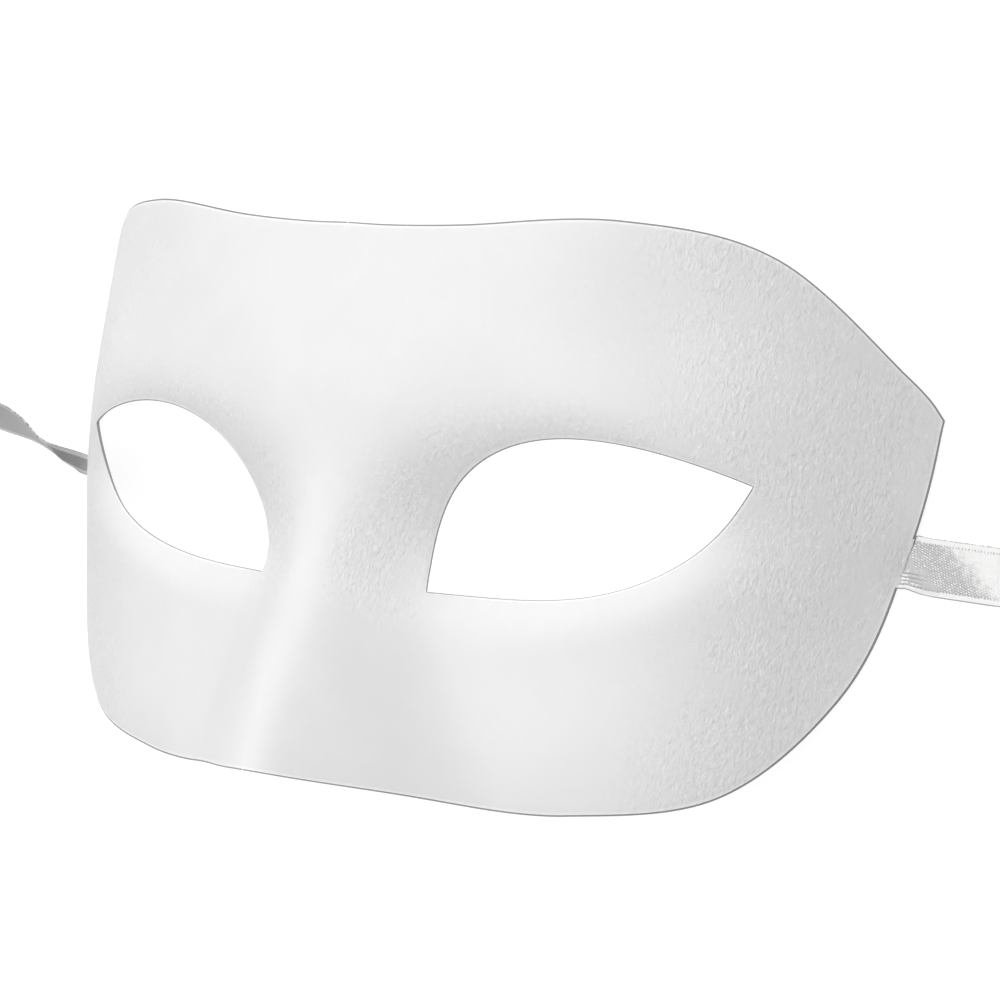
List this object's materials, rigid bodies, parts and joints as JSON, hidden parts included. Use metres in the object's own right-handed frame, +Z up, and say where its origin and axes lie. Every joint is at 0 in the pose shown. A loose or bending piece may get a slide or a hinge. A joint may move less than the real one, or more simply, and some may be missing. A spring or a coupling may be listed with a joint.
{
  "type": "masquerade mask",
  "caption": "Plain white moulded half mask over brow, eyes and nose, with almond eye openings and a loose white satin ribbon glued behind each side, lying face up.",
  "frame": {"origin": "on the table, under the middle of the mask's bounding box, with the mask lying on its side rims and the ribbons left out", "axes": "+X to the viewer's right across the face, +Y towards the brow, +Z up, out of the face"},
  "size_m": [0.3439, 0.1019, 0.0478],
  "materials": {
    "white_plastic": "matte with a fine leather-like grain",
    "white_satin": "satin weave with a narrow woven edge"
  },
  "bodies": {
    "root": {"mask_shell": "white_plastic", "ribbon_end_right": "white_satin", "ribbon_end_left": "white_satin", "ribbon_right": "white_satin", "ribbon_left": "white_satin", "ribbon_roll_right": "white_satin", "ribbon_roll_left": "white_satin"}
  },
  "joints": []
}
